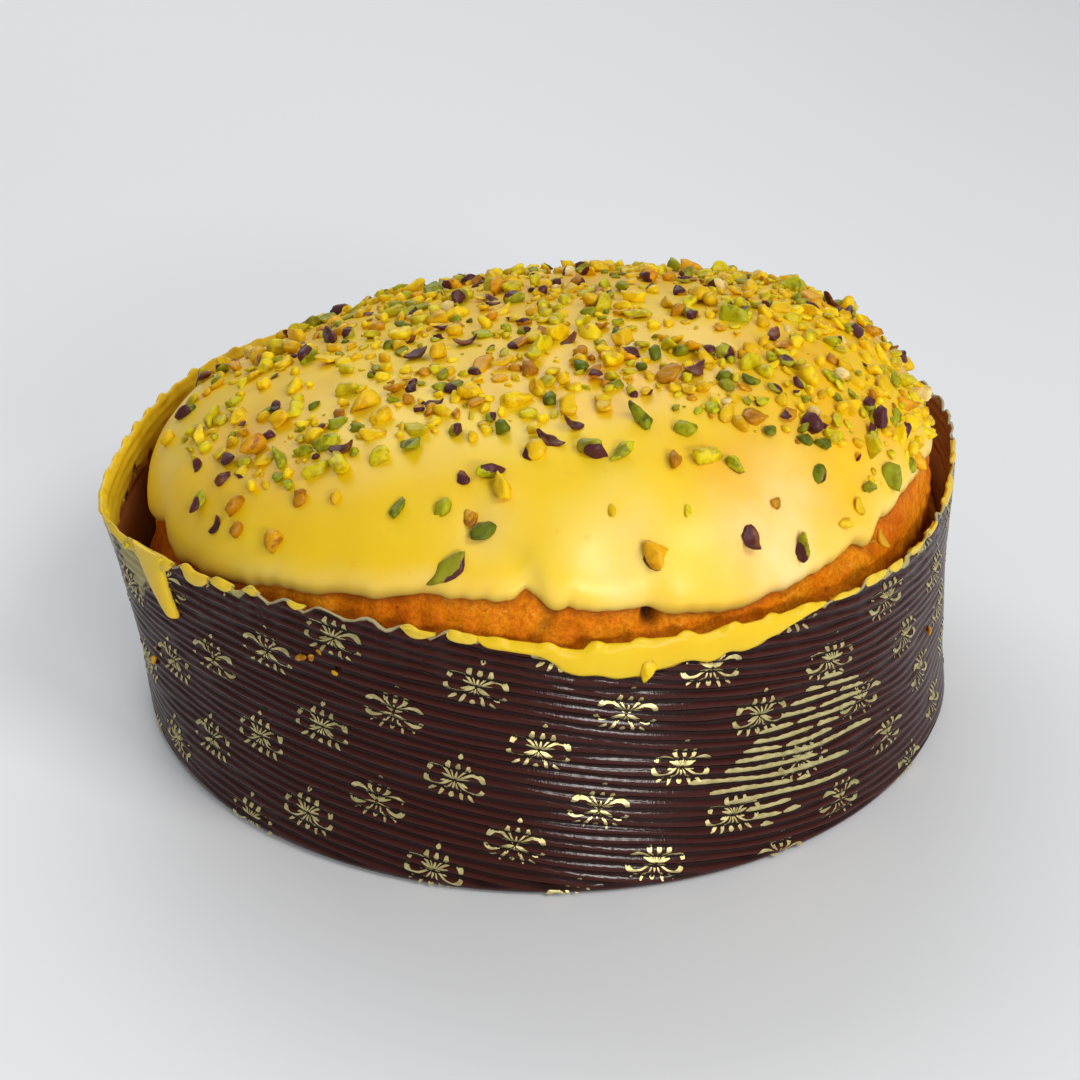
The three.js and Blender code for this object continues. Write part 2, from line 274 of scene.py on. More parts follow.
def dome_place(x, y):
    """Azimuth and climb of the dome's point over a place in plan."""
    table = np.linspace(-np.pi, np.pi, 2881)
    r = shoulder_radius(table)
    dx = r * np.cos(table) - DOME_TOP[0]
    dy = r * np.sin(table) - DOME_TOP[1]
    heading = np.unwrap(np.arctan2(dy, dx))
    wanted = np.arctan2(y - DOME_TOP[1], x - DOME_TOP[0])
    wanted = heading[0] + (wanted - heading[0]) % (2 * np.pi)
    azimuth = np.interp(wanted, heading, table)
    reach = np.hypot(np.interp(azimuth, table, dx), np.interp(azimuth, table, dy))
    out = np.clip(np.hypot(x - DOME_TOP[0], y - DOME_TOP[1]) / reach, 0, 1)
    return azimuth, np.arccos(out ** (PLAN_ROUNDNESS / 2))


# The icing's swellings and hollows, as x, y, radius and height
ICING_SWELLS = [
    (30, -92, 15, 1.1), (14, -96, 6, -1.0), (3, -94, 6, 0.9), (-50, -72, 22, 0.5), (60, -74, 16, 0.5),
    (-20, -70, 14, -0.6), (-84, -38, 7, 0.8), (86, -30, 14, 0.4), (-35, -92, 9, 0.4), (21, -97, 4, -0.7),
]
# Painted highlights: pale creamy spots where the light falls on the front of the dome, as x, y, radius and
# share
ICING_PAINTED_HIGHLIGHTS = [
    (50, -86, 17, 0.75), (14, -92, 9, 0.6), (34, -64, 16, 0.15), (-12, -88, 8, 0.25), (76, -62, 12, 0.4),
]
CREASE = ((-21, -79), (-4, -98))  # from up the dome down to the edge
CREASE_WIDTH = 3
CREASE_DEPTH = 1.0


def icing_swell(points):
    """How far the icing's outside stands off the smooth dome."""
    x, y = points[..., 0], points[..., 1]
    total = 0.45 * ripple(points, 34, 31) + 0.1 * ripple(points, 9, 32)
    for centre_x, centre_y, radius, height in ICING_SWELLS:
        total = total + height * spot(points, centre_x, centre_y, radius)
    (ax, ay), (bx, by) = CREASE
    length = math.hypot(bx - ax, by - ay)
    along = ((x - ax) * (bx - ax) + (y - ay) * (by - ay)) / length
    across = ((x - ax) * (by - ay) - (y - ay) * (bx - ax)) / length + 0.8 * np.sin(along * 0.35)
    run = smooth(along, 0, length * 0.5) * (1 - smooth(along, length, length + 3))
    return total - CREASE_DEPTH * run * bell(across, CREASE_WIDTH)


# Meshes and pieces

def grid_faces(rows, columns, wrap=True, flip=False):
    """Quads between rows of points, as rows by columns."""
    i = np.arange(rows - 1)[:, None]
    j = np.arange(columns if wrap else columns - 1)[None, :]
    a = i * columns + j
    b = i * columns + (j + 1) % columns
    quads = np.stack([a, a + columns, b + columns, b], -1).reshape(-1, 4)
    return quads[:, ::-1] if flip else quads


def make_mesh(name, points, faces, material, **values):
    """A smooth mesh in the row frame from points about the case's axis, with named values at its points."""
    mesh = bpy.data.meshes.new(name)
    shifted = (np.asarray(points, float).reshape(-1, 3) + (CASE_X, CASE_Y, 0)) * MM
    mesh.from_pydata(shifted.tolist(), [], faces.tolist() if hasattr(faces, "tolist") else faces)
    for key, value in values.items():
        layer = mesh.attributes.new(key, "FLOAT", "POINT")
        layer.data.foreach_set("value", np.asarray(value, np.float32).ravel())
    mesh.shade_smooth()
    mesh.materials.append(material)
    mesh.validate()
    piece = bpy.data.objects.new(name, mesh)
    bpy.context.scene.collection.objects.link(piece)
    return piece


def finish_piece(piece, slot, *nodes):
    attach(piece, BODY)
    if nodes:
        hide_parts(*nodes)
    return piece


def ring_mesh(name, first, rings, last, material, **values):
    """A closed mesh from rings, between a pole whose face looks up and one whose face looks down."""
    rows, columns = rings.shape[:2]
    points = np.concatenate([[first], rings.reshape(-1, 3), [last]])
    quads = grid_faces(rows, columns) + 1
    turn = np.arange(columns)
    after = (turn + 1) % columns
    start = 1 + (rows - 1) * columns
    top = np.stack([turn * 0, 1 + turn, 1 + after], -1).tolist()
    bottom = np.stack([start + turn, turn * 0 + start + columns, start + after], -1).tolist()
    padded = {k: np.concatenate([[v[0].mean()], v.ravel(), [v[-1].mean()]]) for k, v in values.items()}
    return make_mesh(name, points, quads.tolist() + top + bottom, material, **padded)


class Gathered:
    """Points, faces and values of many small shapes, which become one joined mesh."""

    def __init__(self):
        self.points, self.faces, self.values, self.count = [], [], {}, 0

    def add(self, points, faces, **values):
        self.points.append(points.reshape(-1, 3))
        self.faces.append(faces + self.count)
        self.count += len(self.points[-1])
        for key, value in values.items():
            self.values.setdefault(key, []).append(np.broadcast_to(value, len(self.points[-1])))

    def piece(self, name, material, slot):
        """The joined mesh, without the points that no face uses."""
        faces = np.concatenate(self.faces)
        used, inverse = np.unique(faces, return_inverse=True)
        values = {key: np.concatenate(parts)[used] for key, parts in self.values.items()}
        points = np.concatenate(self.points)[used]
        return finish_piece(make_mesh(name, points, inverse.reshape(faces.shape), material, **values), slot)


# Materials

class Surface:
    """A material under way: its shader and short calls for the nodes that the surfaces share."""

    def __init__(self, name):
        self.material = bpy.data.materials.new(name)
        self.material.use_nodes = True
        self.tree = self.material.node_tree
        self.shader = next(n for n in self.tree.nodes if n.type == "BSDF_PRINCIPLED")
        self.place = self.tree.nodes.new("ShaderNodeTexCoord").outputs["Object"]

    def node(self, kind, *inputs, **settings):
        made = self.tree.nodes.new("ShaderNode" + kind)
        for key, value in settings.items():
            setattr(made, key, value)
        for socket, value in inputs:
            self.put(made.inputs[socket], value)
        return made

    def put(self, socket, value):
        if isinstance(value, bpy.types.NodeSocket):
            self.tree.links.new(value, socket)
        elif isinstance(value, tuple) and len(value) == 3 and socket.type == "RGBA":
            socket.default_value = (*value, 1)
        else:
            socket.default_value = value

    def set(self, **values):
        for key, value in values.items():
            self.put(self.shader.inputs[key.replace("_", " ")], value)

    def noise(self, size, detail=2.0, roughness=0.5):
        """Noise whose blotches are about that many millimetres across."""
        made = self.node("TexNoise", ("Vector", self.place), ("Scale", 0.5 / (size * MM)), ("Detail", detail),
                         ("Roughness", roughness))
        return made.outputs[0]

    def streaks(self, lengthwise, crosswise, detail):
        """Noise drawn out along the ribs, in millimetres each way, from a piece's arc and rib values."""
        arc = self.maths("DIVIDE", self.value("arc"), lengthwise)
        rib = self.maths("DIVIDE", self.value("rib"), crosswise)
        place = self.node("CombineXYZ", (0, arc), (1, rib), (2, 0.0)).outputs[0]
        return self.node("TexNoise", ("Vector", place), ("Scale", 1.0), ("Detail", detail)).outputs[0]

    def value(self, name):
        return self.node("Attribute", attribute_name=name).outputs["Fac"]

    def maths(self, operation, a, b, clamp=False):
        return self.node("Math", (0, a), (1, b), operation=operation, use_clamp=clamp).outputs[0]

    def times(self, value, share):
        return self.maths("MULTIPLY", value, share)

    def plus_noise(self, name, depth, size, detail=2.0, roughness=0.5):
        """One of the piece's values with noise of that depth about it, to fray where it ends."""
        noise = self.maths("SUBTRACT", self.noise(size, detail, roughness), 0.5)
        return self.maths("ADD", self.value(name), self.times(noise, depth))

    def step(self, value, low, high):
        made = self.node("MapRange", ("Value", value), ("From Min", low), ("From Max", high),
                         interpolation_type="SMOOTHSTEP")
        return made.outputs["Result"]

    def between(self, value, low, high):
        """value from 0 to 1, spread from low to high."""
        return self.node("MapRange", ("Value", value), ("To Min", low), ("To Max", high)).outputs["Result"]

    def tint(self, colour, mask, share, other):
        """The colour, with that share of the other where the mask is 1."""
        return self.mix(self.times(mask, share), colour, other)

    def mix(self, share, a, b):
        made = self.node("Mix", data_type="RGBA")
        self.put(made.inputs[0], share)
        self.put(made.inputs[6], a)
        self.put(made.inputs[7], b)
        return made.outputs[2]

    def ramp(self, value, *stops):
        made = self.node("ValToRGB", ("Fac", value))
        points = made.color_ramp.elements
        while len(points) < len(stops):
            points.new(0.5)
        for point, (at, colour) in zip(points, stops):
            point.position = at
            point.color = (*colour, 1)
        return made.outputs["Color"]

    def bump(self, height, distance, strength=1.0, under=None):
        """Relief of that depth in millimetres. A relief can lie over another."""
        made = self.node("Bump", ("Height", height), ("Distance", distance * MM), ("Strength", strength))
        if under is not None:
            self.put(made.inputs["Normal"], under)
        return made.outputs["Normal"]


def paper_material():
    s = Surface("corrugated_paper")
    # Painted light and shade on the ribs: the grooves take the darker colour, which is painted shade, and the
    # crests the lighter one, which is partly wear streaks along them and partly painted light.
    crest = s.step(s.value("groove"), 0.9, 0.2)
    streaks = s.streaks(9, 0.35, 4)
    dark = s.mix(s.noise(14, 3), (0.009, 0.0012, 0.0006), (0.016, 0.002, 0.0011))
    wear_and_painted_sheen = s.mix(streaks, (0.03, 0.0042, 0.0024), (0.056, 0.0095, 0.006))
    outside = s.mix(crest, dark, wear_and_painted_sheen)
    scratches = s.step(s.streaks(3.2, 0.12, 2), 0.68, 0.78)
    outside = s.tint(outside, scratches, 0.25, (0.16, 0.13, 0.13))
    inside = s.mix(s.noise(6, 3), (0.24, 0.08, 0.018), (0.36, 0.14, 0.035))
    colour = s.mix(s.value("inside"), outside, inside)
    cut_edge = s.step(s.plus_noise("below_rim", 0.7, 2.5), 0.6, 0.1)
    colour = s.mix(cut_edge, colour, (0.4, 0.33, 0.17))
    film = s.step(s.plus_noise("smear", 1.5, 2.2, 4, 0.6), 0.45, 0.65)
    colour = s.tint(colour, film, 0.85, s.mix(s.value("inside"), (0.42, 0.36, 0.13), (0.6, 0.38, 0.012)))
    grain = s.bump(s.noise(0.35, 2), 0.04, 0.5, s.bump(s.streaks(0.4, 2.5, 2), 0.05, 0.6))
    s.set(Base_Color=colour, Roughness=s.between(streaks, 0.12, 0.24), Normal=grain)
    s.set(Specular_IOR_Level=0.2)
    return s.material


def gold_material(name, metal, low, high):
    s = Surface(name)
    # Here the noise is only the print's uneven wear.
    wear_and_painted_sheen = s.noise(1.2, 4, 0.6)
    colour = s.ramp(wear_and_painted_sheen, (0.3, low), (0.6, high))
    s.set(Base_Color=colour, Metallic=metal, Roughness=s.between(s.noise(0.6), 0.3, 0.5))
    s.set(Normal=s.bump(s.noise(0.3), 0.03, 0.6))
    return s.material


def crust_material():
    s = Surface("browned_crust")
    grain = s.noise(0.5, 4, 0.75)
    patches = s.noise(7, 4, 0.65)
    colour = s.ramp(patches, (0.3, (0.6, 0.12, 0.0)), (0.5, (0.84, 0.24, 0.0005)), (0.74, (0.95, 0.4, 0.01)))
    colour = s.mix(s.step(grain, 0.36, 0.64), s.mix(0.5, colour, (0.36, 0.055, 0.0)), colour)
    pores = s.step(s.noise(0.7, 3, 0.6), 0.36, 0.28)
    colour = s.tint(colour, pores, 0.6, (0.2, 0.03, 0.0))
    flecks = s.step(s.noise(0.8, 2, 0.4), 0.69, 0.76)
    colour = s.tint(colour, flecks, 0.6, (0.85, 0.5, 0.14))
    # Painted shade where the loaf's shade values say: in the pit at the back, in the hole, under the icing's
    # edge and in the folds.
    colour = s.mix(s.value("shade"), colour, (0.05, 0.01, 0.002))
    relief = s.bump(s.noise(3.2, 3), 0.9, 0.8)
    relief = s.bump(grain, 0.3, 0.9, relief)
    s.set(Base_Color=colour, Roughness=s.between(patches, 0.55, 0.75), Normal=relief, Specular_IOR_Level=0.12)
    s.set(Subsurface_Weight=0.15, Subsurface_Scale=0.002, Subsurface_Radius=(1.0, 0.4, 0.15))
    return s.material


def icing_material(name="set_icing", deep=0.0, gloss=0.38):
    """Set icing, with pale creamy spots that are painted highlights and a faint creamy band near its edge.
    Deep icing is a fuller yellow all over.
    """
    s = Surface(name)
    cloud = s.noise(26, 3, 0.5)
    colour = s.ramp(
        cloud, (0.38, (0.84, 0.46, 0.0)), (0.48, (0.88, 0.545, 0.002)), (0.58, (0.91, 0.6, 0.01)),
        (0.72, (0.93, 0.66, 0.055)),
    )
    # Painted highlights and the creamy band near the edge: a pale creamy colour where the piece's values ask
    # for it, frayed by noise.
    creamy = s.maths("MULTIPLY", s.value("cream"), s.between(s.noise(11, 3, 0.6), -0.5, 2.2), clamp=True)
    colour = s.mix(creamy, colour, (0.95, 0.7, 0.29))
    colour = s.mix(deep, colour, s.mix(s.noise(7, 3), (0.77, 0.45, 0.0), (0.86, 0.58, 0.01)))
    freckles = s.step(s.noise(1.6, 2, 0.4), 0.7, 0.76)
    colour = s.tint(colour, freckles, 0.35, (0.84, 0.47, 0.0))
    colour = s.tint(colour, s.value("edge"), 0.6, (0.66, 0.48, 0.13))
    relief = s.bump(s.noise(4, 3), 0.12, 0.5)
    relief = s.bump(s.noise(0.8, 2), 0.02, 0.5, relief)
    s.set(Base_Color=colour, Roughness=s.between(s.noise(5, 3), 0.3, 0.44), Normal=relief)
    s.set(Subsurface_Weight=0.2, Subsurface_Scale=0.004, Subsurface_Radius=(1.0, 0.65, 0.1))
    s.set(Specular_IOR_Level=gloss)
    return s.material


def darker(colour, *shares):
    return tuple(channel * share for channel, share in zip(colour, shares))


def nut_material(name, low, high):
    """Chopped kernel between two colours, one for each nut, with skin where the piece says so."""
    s = Surface(name)
    own = s.mix(s.value("shade"), low, high)
    mottle = s.noise(1.6, 3, 0.6)
    colour = s.mix(s.step(mottle, 0.55, 0.36), own, darker(low, 0.84, 0.74, 0.5))
    skin = s.mix(s.noise(1.1, 2), (0.05, 0.011, 0.012), (0.12, 0.0264, 0.0288))
    colour = s.mix(s.step(s.plus_noise("skin", 0.9, 0.9, 3), 0.5, 0.62), colour, skin)
    relief = s.bump(s.noise(0.5, 3, 0.6), 0.12, 0.6)
    s.set(Base_Color=colour, Roughness=s.between(mottle, 0.28, 0.5), Normal=relief, Specular_IOR_Level=0.22)
    s.set(Subsurface_Weight=0.3, Subsurface_Scale=0.0025, Subsurface_Radius=(1.0, 0.7, 0.15))
    return s.material


def table_material():
    s = Surface("pale_table")
    colour = s.mix(s.noise(400, 2), (0.8, 0.806, 0.82), (0.83, 0.834, 0.845))
    s.set(Base_Color=colour, Roughness=0.5)
    return s.material


# Paper case

# Where icing has left a film on the paper: azimuth, width in degrees, depth below the rim inside and outside
FILMS = [
    (170, 26, 11, 3), (135, 22, 9, 1.5), (-162, 12, 5, 11), (-147, 6, 2, 14), (-128, 3, 1, 1.4),
    (-40, 9, 2, 1.5), (-18, 10, 4, 2),
]


def film_share(azimuth, below, inside):
    total = 0
    for centre, width, in_depth, out_depth in FILMS:
        depth = np.where(inside > 0.5, in_depth, out_depth)
        total = np.maximum(total, hill(azimuth, centre, width) * bell(below, depth) * 1.2)
    return total


def paper_case():
    steps = WAVE_COUNT * 7
    turn = round_turn(steps)
    top = rim_height(turn)
    split = 50  # below this height the rows are level, and above it they rise to the wave
    level = np.arange(FOOT_ROUND + 0.3, split, RIB_PITCH / 6)
    rising = np.linspace(0, 1, 34)
    outer = [np.full(steps, z) for z in level] + [split + (top - split) * t for t in rising]
    inner = [split + (top - split) * t for t in np.linspace(1, 0, 24)]
    rows = []
    for degrees in (0, 30, 60, 90):
        t = math.radians(degrees)
        z = FOOT_ROUND * (1 - math.cos(t))
        r = plain_radius(turn, 0) - FOOT_ROUND * (1 - math.sin(t))
        rows.append((r, np.full(steps, z), 0))
    rows += [(wall_radius(turn, z), z, 0) for z in outer]
    rows.append((wall_radius(turn, top) - SHEET / 2, top + 0.12, 0.5))
    rows += [(wall_radius(turn, z) - SHEET, z, 1) for z in inner]
    rows += [(inner_radius(turn, z), np.full(steps, z), 1) for z in (46, 40, 34, 28, 22, 16, 10)]
    rows.append((plain_radius(turn, 0) - 1.5, np.full(steps, CASE_FLOOR + 2), 1))
    rows.append((plain_radius(turn, 0) - 3.5, np.full(steps, CASE_FLOOR), 1))
    rows.reverse()
    heights = np.array([z for _, z, _ in rows])
    inside = np.array([np.full(steps, side, float) for _, _, side in rows])
    rings = np.array([polar(turn, r, z) for r, z, _ in rows])
    turns = np.broadcast_to(turn, heights.shape)
    below = np.maximum(top - heights, 0)  # below the rim
    piece = ring_mesh(
        "case_paper", (0, 0, CASE_FLOOR), rings, (0, 0, 0), paper_material(),
        arc=turns * BASE_RADIUS, rib=rib_phase(turns, heights) * RIB_PITCH, groove=groove(turns, heights),
        inside=inside, below_rim=below, smear=film_share(turns, below, inside),
    )
    finish_piece(piece, "paper", "paper_case")


# Gold print

FLORET_COLUMN = 15.9
FLORET_ROW = 12.4
FLORET_LEAN = 0.217  # the print runs down round the case at this slope
FLORET_START = (-173.1, 1.4)  # arc and height of one floret
INK = 0.12  # how far the ink lies over the paper
INK_STEP = 0.28


def respaced(rows, count=None):
    """Rows of x, y and half width, spread evenly along their line: an ink step apart without a count."""
    along = np.concatenate([[0], np.cumsum(np.linalg.norm(np.diff(rows[:, :2], axis=0), axis=1))])
    even = np.linspace(0, along[-1], count or max(3, int(along[-1] / INK_STEP) + 1))
    return np.stack([np.interp(even, along, column) for column in rows.T], -1)


def stroke(*points):
    """A stroke of the print through points given as x, y and half width, rounded off between them."""
    return soften(respaced(np.array(points, float), 40), 3)


def dot(x, y, radius):
    t = np.linspace(-1, 1, 9)
    return np.stack([x + radius * t, y + 0 * t, radius * np.sqrt(np.clip(1.02 - t * t, 0, 1))], -1)


def floret_strokes():
    """A small symmetrical floret: two open bows, three buds above, a fringe below and a dot apart."""
    half = [
        stroke(
            (0.3, 0.3, 0.14), (1.6, 1.5, 0.2), (3.2, 2.4, 0.26), (4.8, 2.5, 0.4), (5.8, 1.9, 0.6),
            (6, 1.1, 0.44),
        ),
        stroke(
            (0.3, -0.2, 0.14), (1.6, -1, 0.18), (3.2, -1.8, 0.2), (4.8, -2.1, 0.3), (6, -1.6, 0.56),
            (6.3, -0.7, 0.44),
        ),
        stroke((0.4, 0.2, 0.1), (1.5, 0.8, 0.38), (3, 1.2, 0.08)),
        stroke((0.4, -0.2, 0.1), (1.5, -0.6, 0.4), (3, -0.9, 0.08)),
        stroke((0.2, 0.5, 0.1), (0.9, 1.7, 0.15), (1.8, 2.7, 0.2)),
        stroke((1.9, 2.6, 0.3), (2.3, 3.5, 0.62), (2.1, 4.5, 0.3)),
        stroke((3.5, -2.9, 0.2), (4.2, -3.3, 0.34), (5, -3.9, 0.14)),
        stroke((0.4, -0.7, 0.08), (0.9, -1.6, 0.2), (1.4, -2.5, 0.1)),
        stroke((1.6, -2.2, 0.16), (2.1, -3.2, 0.42), (2.6, -4.5, 0.2)),
    ]
    whole = [
        stroke((0, 0.4, 0.1), (0, 1.3, 0.3), (0, 2.2, 0.12)),
        stroke((0, -0.4, 0.1), (0, -1.2, 0.28), (0, -2.2, 0.1)),
        stroke((0, 2.6, 0.3), (0, 3.5, 0.62), (0, 4.5, 0.26)),
        dot(0, -3.6, 0.6),
        dot(0, 6.4, 0.55),
    ]
    return half + [rows * (-1, 1, 1) for rows in half] + whole


def ink_strip(rows):
    """A stroke as a strip of points in the print's own plane: rows of four across."""
    rows = respaced(rows)
    line, half = rows[:, :2], rows[:, 2]
    ahead = np.gradient(line, axis=0)
    ahead /= np.maximum(np.linalg.norm(ahead, axis=1, keepdims=True), 1e-9)
    side = np.stack([-ahead[:, 1], ahead[:, 0]], -1)
    across = np.array([-1, -1 / 3, 1 / 3, 1])[:, None]
    return line[:, None, :] + side[:, None, :] * half[:, None, None] * across


def print_strip(ink, arc, z, deepest=0.95):
    """Adds rows of ink on the wall, but none deeper in a groove, over the rim or round the foot."""
    azimuth = arc / BASE_RADIUS
    shown = (groove(azimuth, z) < deepest) & (z > 0.9) & (z < rim_height(azimuth) - 0.3)
    faces = grid_faces(*arc.shape, wrap=False)
    faces = faces[shown.ravel()[faces].sum(1) >= 3]
    ink.add(polar(azimuth, wall_radius(azimuth, z) + INK, z), faces)


def florets():
    ink = Gathered()
    draw = np.random.default_rng(41)
    strokes = floret_strokes()
    seam = math.pi / 2 * BASE_RADIUS  # the print starts and ends behind
    around_case = 2 * math.pi * BASE_RADIUS
    for i in range(-60, 61):
        for j in range(-60, 61):
            if (i + j) % 2:
                continue
            u, v = FLORET_START[0] + i * FLORET_COLUMN, FLORET_START[1] + j * FLORET_ROW
            z = (v - FLORET_LEAN * u) / (1 + FLORET_LEAN**2)
            arc = u + FLORET_LEAN * z
            if not (-3 < z < RIM_HEIGHT + 3 and seam - around_case + 5 < arc < seam - 5):
                continue
            tilt = -math.atan(float(rib_slope(arc / BASE_RADIUS))) - 0.02 + 0.03 * draw.normal()
            c, s = math.cos(tilt), math.sin(tilt)
            for rows in strokes:
                x, y = np.moveaxis(ink_strip(rows), -1, 0)
                print_strip(ink, arc + c * x - s * y, z + s * x + c * y)
    gold = gold_material("gold_ink", 0.7, (0.36, 0.3, 0.11), (0.64, 0.56, 0.26))
    ink.piece("gold_florets", gold, "gold_print")


# The patch of gold bars on the ribs: height, first and last azimuth of its outline
BAR_PATCH = [
    (9, -65, -60), (12, -66, -57), (16, -67, -55), (21, -69, -54), (26, -71, -51), (31, -69, -49),
    (36, -62, -47), (40, -59, -48), (44, -56, -50),
]
BAR_HALF_WIDTH = 0.54


def gold_bars():
    ink = Gathered()
    draw = np.random.default_rng(43)
    heights, first, last = np.array(BAR_PATCH, float).T
    centre = math.radians(-58)
    for crest in range(-40, 60):
        arc = np.arange(math.radians(-76), math.radians(-40), 0.3 / BASE_RADIUS) * BASE_RADIUS
        azimuth = arc / BASE_RADIUS
        z = np.full_like(arc, 20.0)
        for _ in range(12):
            z -= (rib_phase(azimuth, z) - crest) * RIB_PITCH
        if not 8 < np.interp(centre, azimuth, z) < 46:
            continue
        degrees = np.degrees(azimuth)
        starts = np.interp(z, heights, first) + draw.uniform(-2.5, 2.5)
        stops = np.interp(z, heights, last) + draw.uniform(-3, 1.5)
        along = (degrees - starts) / (stops - starts)
        gap = draw.uniform(0.3, 1.5)  # a bar is broken at this share of its length, if it is less than 1
        for low, high in ((0, gap - 0.02), (gap + 0.02, 1)):
            inside = (along > low) & (along < high) & (z > heights[0] - 1) & (z < heights[-1] + 1)
            if inside.sum() < 8:
                continue
            run = np.where(inside)[0]
            run = run[run - run[0] == np.arange(len(run))]
            order = np.arange(len(run))
            ends = np.clip(np.minimum(order, order[::-1]) / 4, 0.3, 1) ** 0.6
            ragged = 0.07 * np.sin(arc[run] * 0.7 + crest) + 0.05 * np.sin(arc[run] * 2.3 + 2 * crest)
            half = (BAR_HALF_WIDTH + ragged) * ends
            across = np.linspace(-1, 1, 4)
            widened = z[run][:, None] + half[:, None] * across
            print_strip(ink, np.repeat(arc[run][:, None], 4, 1), widened, deepest=2)
    gold = gold_material("gold_bar_ink", 0.3, (0.35, 0.29, 0.11), (0.52, 0.45, 0.2))
    ink.piece("gold_bars", gold, "gold_print")


# Loaf

WALL_GAP = 0.45
LOAF_FOOT = CASE_FLOOR + 0.4
LOAF_ROUND = 3
HOLE = (-78.0, 64.6, 1.9, 2.7)  # azimuth, height, half width and half height of a hole in the crust
HOLE_DEPTH = 4.5
COARSE_CRUST = 0.45
FINE_CRUST = 0.22
WRINKLES = [(-91.0, 0.9, 1.4), (-92.9, 0.8, -0.6), (-87.5, 1.6, 0.4), (-70, 2.4, 0.3), (-116, 2.0, 0.35),
            (-49, 1.8, 0.6), (-44, 1.4, -0.5)]


def crust_relief(turns, z):
    """How far the wrinkles sink into the crust, the painted shade in their folds, and where the hole is."""
    sunk = np.zeros_like(z)
    crease_shade = np.zeros_like(z)
    for centre, width, rise in WRINKLES:
        lean = centre + 0.9 * np.sin(z * 0.45 + centre)
        fold = rise * hill(turns, lean, width) * smooth(z, 56, 61)
        sunk = sunk + fold * 0.9
        crease_shade = crease_shade + 0.2 * np.maximum(fold, 0)
    azimuth, height, half_width, half_height = HOLE
    away = ((np.degrees(turns) - azimuth) * BASE_RADIUS * math.radians(1) / half_width) ** 2
    away = away + ((z - height) / half_height) ** 2
    return sunk, crease_shade, np.exp(-(away**1.5))


def loaf():
    turn = round_turn(DOME_STEPS)
    edge = edge_climb(turn)
    rows = [under_dome(turn, above(edge, t), ICING) for t in (0.9, 0.6, 0.3, 0.08, 0.03)]
    bare = [under_dome(turn, edge * t, ICING) for t in np.linspace(1, 0, 18)]
    shoulder = bare[-1]
    low = CONTACT_LEVEL + hills(turn, CONTACT_HILLS)
    start = np.hypot(shoulder[:, 0], shoulder[:, 1])
    flank = []
    for t in np.linspace(0, 1, 16)[1:]:
        z = shoulder[:, 2] + (low - shoulder[:, 2]) * t
        wall = inner_radius(turn, z) - WALL_GAP
        flank.append(polar(turn, start + (wall - start) * t**2, z))
    for t in (0.15, 0.3, 0.45, 0.6, 0.75, 0.9, 1):
        z = low + (LOAF_FOOT + LOAF_ROUND - low) * t
        flank.append(polar(turn, inner_radius(turn, z) - WALL_GAP, z))
    flank.append(polar(turn, plain_radius(turn, 0) - 5, LOAF_FOOT))
    rings = np.array(rows + bare + flank)
    turns = np.broadcast_to(turn, rings.shape[:2])
    z = rings[..., 2]
    shown = smooth(z, 36, 44)
    outward = polar(turns, 1, 0)
    push = COARSE_CRUST * ripple(rings, 8, 51) + FINE_CRUST * ripple(rings, 2.6, 52)
    sunk, crease_shade, hole = crust_relief(turns, z)
    hole = hole * (np.arange(len(rings)) >= len(rows))[:, None]
    rings = rings + outward * ((push - sunk) * shown - HOLE_DEPTH * hole)[..., None]
    # Painted shade: the crust is darker in the pit between the loaf and the paper at the back, in the hole,
    # in the rows just under the icing's edge and in the folds.
    pit_shade = smooth(58 - z, 0, 16) * hill(turns, 172, 60) * 0.3
    under_edge_shade = np.zeros_like(z)
    for k in range(len(rows), len(rows) + 3):
        under_edge_shade[k] = 0.45 - 0.15 * (k - len(rows))
    shade = np.clip(pit_shade + hole * 1.1 + under_edge_shade * shown + crease_shade * shown, 0, 1)
    piece = ring_mesh("loaf", (DOME_TOP[0], DOME_TOP[1], rings[0, :, 2].mean() + 0.5), rings,
                      (0, 0, LOAF_FOOT), crust_material(), shade=shade)
    finish_piece(piece, "crust", "bread")


# Icing over the dome

EDGE_ROLL = 4.4  # over which the edge turns down to the crust
EDGE_LIP = 0.2


def icing_point(azimuth, climb, sink=0.0):
    """The icing's outside, or that many millimetres under it."""
    point = dome_point(azimuth, climb)
    lift = icing_swell(point) - sink
    return point + dome_normal(azimuth, climb) * np.asarray(lift)[..., None]


